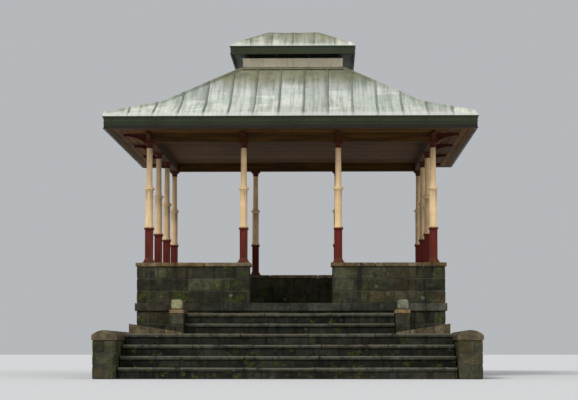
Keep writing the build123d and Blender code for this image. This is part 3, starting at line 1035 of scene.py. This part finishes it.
def turn_ring(base, sides, profile, finish_name, turn=None):
    """Raise a ring of sides through a profile of heights and half widths."""
    put_down()
    few = sides <= 8
    if turn is None:
        turn = math.pi / sides if few else 0
    (start, width), (head, wider), *rest = profile
    bpy.ops.mesh.primitive_cylinder_add(
        vertices=sides, radius=width / math.cos(math.pi / sides) if few else width,
        depth=head - start, rotation=(0, 0, turn),
        location=base + Vector((0, 0, (start + head) / 2)))
    piece = settle(bpy.context.object)
    bpy.ops.object.mode_set(mode="EDIT")
    pick(piece, lambda at, way: way.z > 0.9 and at.z > base.z + head - CLOSE)
    bpy.ops.transform.resize(value=(wider / width, wider / width, 1))
    for (z, w), (next_z, next_w) in pairwise([(head, wider), *rest]):
        extrude_up(next_z - z)
        bpy.ops.transform.resize(value=(next_w / w, next_w / w, 1))
    put_down()
    return coat(piece, finish_name)


def cast_column(base):
    """A panelled pedestal, two shafts, a bell capital, and a bolted plate at the foot."""
    plate, plate_height, bolt = 0.116, 0.011, 0.103
    die = base.z + 0.36         # the middle of the pedestal's panels
    parts = [turn_ring(base, *ring) for ring in (
        (4, PEDESTAL, "maroon_paint"), (8, LOWER_SHAFT, "cream_paint"),
        (32, UPPER_SHAFT, "cream_paint"), (32, CAPITAL, "shaded_console_paint"),
        (4, ABACUS, "shaded_console_paint"))]
    edit(parts[0])
    pick(parts[0], lambda at, way: abs(at.z - die) < 0.05 and abs(way.z) < 0.3)
    for thickness, depth in ((0.02, 0), (0.005, -0.008), (0.012, 0), (0.003, 0.003)):
        bpy.ops.mesh.inset(thickness=thickness, depth=depth, use_individual=True)
    foot = lay_blocks("plate", [(base - Vector((plate, plate, 0)),
                                 base + Vector((plate, plate, plate_height)))], arris=0.003,
                      segments=2, tones=False)
    parts.append(coat(foot, "maroon_paint"))
    for sx, sy in CORNERS:
        place = base + Vector((sx * bolt, sy * bolt, 0))
        parts.append(turn_ring(place, 6, NUT, "bare_iron", turn=sx * 0.4))
    column = label(join(parts), "casting_01")
    bevel(column, 0.0015, angle=0.6)
    smooth(column, angle=0.6)
    return column


class CastColumns(bpy.types.Operator):
    """Cast one column with its pedestal and capital, and stand twelve of them"""

    bl_idname = "bandstand.cast_columns"
    bl_label = "Cast columns"

    def execute(self, context):
        names = sorted(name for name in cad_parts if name.startswith("column_"))
        home, *places = [sum(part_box(name), Vector()) / 2 for name in names]
        master = cast_column(Vector((home.x, home.y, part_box(names[0])[0].z)))
        for name, place in zip(names[1:], places):
            copy = copy_piece(master, name.replace("column", "casting"))
            bpy.ops.transform.translate(value=place - home)
            deliver(settle(copy), nodes=[name])
        deliver(master, nodes=[names[0]])
        return {"FINISHED"}


def round_bar(sides, radius, depth, turn, middle, arris, segments=1):
    bpy.ops.mesh.primitive_cylinder_add(vertices=sides, radius=radius, depth=depth,
                                        location=middle, rotation=turn)
    piece = settle(bpy.context.object)
    bevel(piece, arris, segments)
    return piece


def cast_console(back, tip, foot, top):
    """One console in the plane x = 0, from the beam's face out to its tip."""
    end = top - 0.048
    under = top - 0.001
    bow = 0.136
    lines = evenly(back, tip, 13)[1:-1]

    def climb(y):
        share = (back - y) / (back - tip)
        return (end - foot) * share + bow * share * (1 - share)

    parts = []
    for half, nose, z0, z1, lifted, drop in (
            (0.042, tip, foot, foot + 0.014, top, 0),                           # flange
            (0.008, tip, foot, foot + 0.02, top, 0.004),                        # bead
            (0.009, tip + 0.004, foot + 0.012, under, foot + 0.013, 0)):        # web
        part = start_blocks("rib", [block((-half, half), (nose, back), (z0, z1))])
        cut_across(1, lines)
        shift_lines(part, 1, [*lines, nose], lambda at: at.z < lifted, lambda y: climb(y) - drop)
        if not parts:
            pick_points(part, lambda at: at.y < tip + CLOSE)
            bpy.ops.transform.resize(value=(0.62, 1, 1))
        parts.append(part)
    for half, nose, z0 in ((0.048, back - 0.01, foot + 0.002),                  # wall plate
                           (0.03, tip, top - 0.012)):                           # rail
        parts.append(lay_blocks("flat", [block((-half, half), (nose, back), (z0, under))],
                                arris=0.003, segments=2, tones=False))
    for out, radius in ((0.066, 0.036), (0.150, 0.022), (0.215, 0.014)):
        bpy.ops.mesh.primitive_torus_add(
            major_radius=radius, minor_radius=0.0145, major_segments=20, minor_segments=8,
            location=(0, back - out, top - 0.016 - radius), rotation=(0, math.pi / 2, 0))
        parts.append(settle(bpy.context.object))
    parts.append(round_bar(sides=16, radius=0.02, depth=0.06, turn=(0, math.pi / 2, 0),
                           middle=(0, tip + 0.021, end + 0.006), arris=0.004, segments=2))
    bolt_rise, bolt_out = 0.035, 0.034
    for z in (foot + bolt_rise, top - bolt_rise):
        for x in (-bolt_out, bolt_out):
            parts.append(round_bar(sides=6, radius=0.009, depth=0.014, turn=(math.pi / 2, 0, 0),
                                   middle=(x, back - 0.016, z), arris=0.002))
    console = coat(join(parts), "shaded_console_paint")
    bevel(console, 0.0015, angle=0.9)
    smooth(console, angle=0.6)
    return console


class CastConsoles(bpy.types.Operator):
    """Cast the curved consoles under the eaves, with their flange, roundels and bolts"""

    bl_idname = "bandstand.cast_consoles"
    bl_label = "Cast consoles"

    def execute(self, context):
        low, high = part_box("beam_front")
        master = cast_console(low.y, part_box("eaves_consoles")[0].y, low.z, high.z)
        row = []
        for number in range(1, 5):
            copy = copy_piece(master, f"console_{number}")
            copy.location = (sum(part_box(f"column_{number:02d}"), Vector()).x / 2, 0, 0)
            row.append(settle(copy))
        bpy.data.objects.remove(master)
        deliver(on_all_sides(join(row), "console_castings"),
                nodes=["eaves_consoles"])
        return {"FINISHED"}


# Timber and copper


class BoardCeiling(bpy.types.Operator):
    """Board the ceiling and the soffit of the eaves, with a groove between boards"""

    bl_idname = "bandstand.board_ceiling"
    bl_label = "Board ceiling"

    def execute(self, context):
        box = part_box("ceiling_deck")
        high = box[1]
        size = sizes()
        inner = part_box("beam_back")[1].x - 0.08
        lines = evenly(-inner, inner, round(2 * inner / size.board) + 1)
        across = [within(box, (-inner, inner), ys) for ys in pairwise(lines)]
        along = []
        rings = evenly(inner, high.x, round((high.x - inner) / size.board) + 1)
        for near, far in pairwise(rings):
            for sign in (-1, 1):
                edge = (sign * near, sign * far)
                across.append(within(box, (-near, near), edge))
                along.append(within(box, edge, (-far, far)))
        for name, boards, wood, axes, nodes in (
                ("ceiling_boards", across, "boarding_x", "y", ["ceiling_deck"]),
                ("soffit_boards", along, "boarding_y", "x", [])):
            piece = lay_blocks(name, jointed(boards, size.board_groove / 2, axes), arris=0.006)
            deliver(piece, wood, nodes)
        backing = core_blocks("ceiling_backing", [within(box, zs=(high.z - 0.012, high.z))])
        deliver(backing, "boarding_x")
        return {"FINISHED"}


def cast_bracket(x, face, top):
    """One cast rib that carries the gutter's lip."""
    foot, level = top - 0.15, top - 0.118
    piece = start_blocks("bracket", [block((x - 0.014, x + 0.014), (face - 0.007, face + 0.002),
                                           (foot, level))])
    for drop, reach in ((0.080, 0.012), (0.040, 0.018), (0.014, 0.0265), (0.001, 0.0265)):
        pick(piece, lambda at, way: way.z > 0.9 and at.z > level - CLOSE)
        extrude_up(top - drop - level)
        level = top - drop
        front = pick_points(piece, lambda at: at.z > level - CLOSE and at.y < face)
        shift = face - reach - min(at.y for at in front)
        bpy.ops.transform.translate(value=(0, shift, 0))
    put_down()
    return piece


class TrimEaves(bpy.types.Operator):
    """Run beads along the fascias and beams, and set the gutter brackets"""

    bl_idname = "bandstand.trim_eaves"
    bl_label = "Trim eaves"

    def execute(self, context):
        low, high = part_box("eaves_fascia_front")
        face = -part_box("ceiling_deck")[1].y - 0.035
        beads = [((0, face - deep / 2 + 0.001, low.z + rise), (-2 * face, deep, tall), FLAT)
                 for rise, deep, tall in ((0.011, 0.012, 0.022), (0.132, 0.010, 0.014))]
        trim("fascia_beads", beads, "green_gloss", arris=0.004, segments=3)

        end = low.y + 0.162
        row = join([cast_bracket(x, face, high.z) for x in evenly(end, -end, 9)])
        bevel(row, 0.002, segments=2)
        deliver(on_all_sides(row, "gutter_brackets"), "green_gloss")

        low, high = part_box("lantern_fascia")
        beads = [((0, low.y - 0.004, z), (high.x - low.x + 0.016, 0.01, tall), FLAT)
                 for z, tall in ((low.z + 0.010, 0.020), (high.z - 0.014, 0.026))]
        trim("lantern_beads", beads, "green_gloss", arris=0.004, segments=3)

        low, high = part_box("beam_front")
        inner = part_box("beam_left")[1].x
        cornices = [((0, y, high.z - 0.014), (-2 * reach, 0.024, 0.028), FLAT)
                    for y, reach in ((low.y - 0.010, low.y), (high.y + 0.010, inner))]
        trim("beam_cornices", cornices, "timber_x", arris=0.009, segments=3)
        return {"FINISHED"}


class FixWelts(bpy.types.Operator):
    """Fold cross welts between the copper sheets, staggered from sheet to sheet"""

    bl_idname = "bandstand.fix_welts"
    bl_label = "Fix cross welts"

    def execute(self, context):
        low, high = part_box("roof_slope_front")
        sheet = (high.x - low.x) / SHEETS
        slope = main_slope()
        strips = []
        for index in range(SHEETS):
            x = low.x + sheet * (index + 0.5)
            for out, stagger in ((3.12, 0.28), (2.02, 0.24), (1.42, 0.12)):
                out -= stagger * (index % 2)
                if abs(x) + sheet * 0.5 <= out - 0.06:
                    z, tilt = slope(out)
                    strips.append(((x, -out, z + 0.001), (sheet - 0.023, sizes().welt, 0.008),
                                   (tilt, 0, 0)))
        for number, side in enumerate(SIDES):
            piece = face_side(lay_strips("welts_" + side, strips, arris=0.002), number)
            deliver(piece, "patina")
        return {"FINISHED"}


class StrapHips(bpy.types.Operator):
    """Fix straps over the hip rolls"""

    bl_idname = "bandstand.strap_hips"
    bl_label = "Strap hips"

    def execute(self, context):
        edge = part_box("roof_slope_front")[1].x
        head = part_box("lantern_louvres")[1].x + CURB_FACE
        knee = edge - FLARE_RUN
        roll_height = 0.0425
        slope = main_slope()
        strips = []
        for sx, sy in CORNERS:
            for half in evenly(edge - 0.09, head + 0.13, 7):
                if abs(half - knee) < 0.16:
                    half = knee + 0.2
                z, pitch = slope(half)
                rise = math.atan(math.tan(pitch) / math.sqrt(2))
                strips.append(((sx * half, sy * half, z + roll_height / math.cos(rise)),
                               (0.03, 0.04, 0.005), (0, -rise, math.atan2(-sy, -sx))))
        deliver(lay_strips("hip_straps", strips, arris=0.0015), "lead")
        return {"FINISHED"}


def strips_between(stops, width):
    """Strips from stop to stop, each by its middle, lengths and turn."""
    lap, depth = 0.004, 0.034
    strips = []
    for start, end in pairwise(stops):
        way = end - start
        rise = math.atan2(way.z, math.hypot(way.x, way.y))
        strips.append(((start + end) / 2, (way.length + lap, width, depth),
                       (0, -rise, math.atan2(way.y, way.x))))
    return strips


class CoverLantern(bpy.types.Operator):
    """Lay the lantern's seams and hip rolls, its curb battens and the flashing at its foot"""

    bl_idname = "bandstand.cover_lantern"
    bl_label = "Cover lantern"

    def execute(self, context):
        low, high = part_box("lantern_roof")
        edge = high.x
        knee, crown = 0.52, 0.09
        seam_wide, roll_wide = 0.018, 0.044
        rim = 0.026             # the copper's edge above the foot of a slope
        slope = bent_slope(edge, low.z + rim, knee, math.radians(26), math.radians(9))
        sheet = 2 * edge / LANTERN_SHEETS
        seams = []
        for i in range(1, LANTERN_SHEETS):
            x = sheet * i - edge
            stops = [edge - 0.012, knee, max(abs(x) + 0.03, crown)]
            if abs(x) >= knee:
                stops.remove(knee)
            seams += strips_between([Vector((x, -out, slope(out)[0])) for out in stops],
                                    seam_wide)
        trim("lantern_seams", seams, "lantern_patina", arris=0.004, segments=2)

        rolls = []
        for sx, sy in CORNERS:
            rolls += strips_between([Vector((sx * out, sy * out, slope(out)[0]))
                                     for out in (edge - 0.02, knee, crown - 0.01)], roll_wide)
        deliver(lay_strips("lantern_hip_rolls", rolls, arris=0.012, segments=3),
                "lantern_patina")

        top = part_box("lantern_curb")[1].z
        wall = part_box("lantern_louvres")[1].x + CURB_FACE
        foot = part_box("roof_slope_front")[1].z
        battens = [((x, -wall - 0.005, (foot + top) / 2 - 0.012),
                    (0.045, 0.012, top - foot - 0.032), FLAT)
                   for x in evenly(0.035 - wall, wall - 0.035, 7)]
        trim("curb_battens", battens, "curb_paint", arris=0.003, segments=2)

        wide, lift = 0.11, 0.03
        out = math.cos(MAIN_PITCH) * wide / 2
        z = foot - 0.026 / math.cos(MAIN_PITCH) - math.tan(MAIN_PITCH) * out + lift
        apron = ((0, -wall - out, z), (2 * wall + 0.04, wide, 0.005), (MAIN_PITCH, 0, 0))
        trim("curb_flashing", [apron], "patina", arris=0.0015)
        return {"FINISHED"}


# The frame and the stage


FRAME_FINISHES = {
    "timber_x": ("beam_front", "beam_back"),
    "timber_y": ("beam_left", "beam_right"),
    "patina": ("hip_rolls", *("roof_slope_" + side for side in SIDES)),
    "green_gloss": ("lantern_fascia", "lantern_soffit", *("eaves_fascia_" + side for side in SIDES)),
    "lantern_patina": ("lantern_roof",),
    "curb_paint": ("lantern_curb",),
    "louvre_shade_paint": ("lantern_louvres",),
}


class DressFrame(bpy.types.Operator):
    """Give the parts of the frame that stay their finishes"""

    bl_idname = "bandstand.dress_frame"
    bl_label = "Dress frame"

    def execute(self, context):
        for finish_name, names in FRAME_FINISHES.items():
            for name in names:
                coat(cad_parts[name], finish_name)
        return {"FINISHED"}


class BuildStage(bpy.types.Operator):
    """Set a pale floor, soft light and the camera"""

    bl_idname = "bandstand.build_stage"
    bl_label = "Build stage"

    def execute(self, context):
        put_down()
        bpy.ops.mesh.primitive_plane_add(size=400, location=(0, 0, -0.002))
        floor = label(settle(bpy.context.object), "floor")
        coat(floor, "stage_white")

        world = context.scene.world = bpy.data.worlds.new("studio")
        world.use_nodes = True
        sky = world.node_tree.nodes["Background"].inputs
        sky["Color"].default_value = (0.93, 0.96, 1, 1)
        sky["Strength"].default_value = 0.5

        for name, turn, strength, angle in (("key", (46, 0, -36), 1.7, 24),
                                            ("fill", (60, 0, 48), 0.4, 50)):
            bpy.ops.object.light_add(type="SUN", location=(0, 0, 20),
                                     rotation=[math.radians(a) for a in turn])
            lamp = bpy.context.object
            lamp.name = name
            lamp.data.energy = strength
            lamp.data.angle = math.radians(angle)

        eye = Vector((0.72, -36.145, 0.485))
        aim = Vector((-0.04, -2.7, 3.4))
        bpy.ops.object.camera_add(location=eye)
        camera = context.scene.camera = bpy.context.object
        camera.rotation_euler = (aim - eye).to_track_quat("-Z", "Y").to_euler()
        camera.data.lens = 108
        camera.data.sensor_width = 36
        camera.data.clip_end = 1000
        context.scene.view_settings.view_transform = "Standard"
        put_down()
        return {"FINISHED"}


class BandstandPanel(bpy.types.Panel):
    """Lists the steps that dress the bandstand"""

    bl_idname = "VIEW3D_PT_bandstand"
    bl_label = "Bandstand"
    bl_space_type = "VIEW_3D"
    bl_region_type = "UI"
    bl_category = "Bandstand"

    def draw(self, context):
        for step in STEPS:
            self.layout.operator(step.bl_idname)
        for group in (sizes(), colours()):
            for setting in group.bl_rna.properties:
                if setting.identifier not in ("rna_type", "name"):
                    self.layout.prop(group, setting.identifier)


STEPS = (DressFrame, LayPodium, LayDwarfWalls, LayFloor, LaySteps, LayStairWalls, CutKerbs,
         LayCopings, CastColumns, CastConsoles, BoardCeiling, TrimEaves, FixWelts, StrapHips,
         CoverLantern, BuildStage)
CLASSES = (BandstandSizes, BandstandColours, *STEPS, BandstandPanel)


def register():
    for item in CLASSES:
        bpy.utils.register_class(item)
    bpy.types.Scene.bandstand_sizes = bpy.props.PointerProperty(type=BandstandSizes)
    bpy.types.Scene.bandstand_colours = bpy.props.PointerProperty(type=BandstandColours)


def unregister():
    del bpy.types.Scene.bandstand_sizes
    del bpy.types.Scene.bandstand_colours
    for item in reversed(CLASSES):
        bpy.utils.unregister_class(item)


def main():
    register()
    for step in STEPS:
        group, name = step.bl_idname.split(".")
        getattr(getattr(bpy.ops, group), name)()


if __name__ == "__main__":
    main()
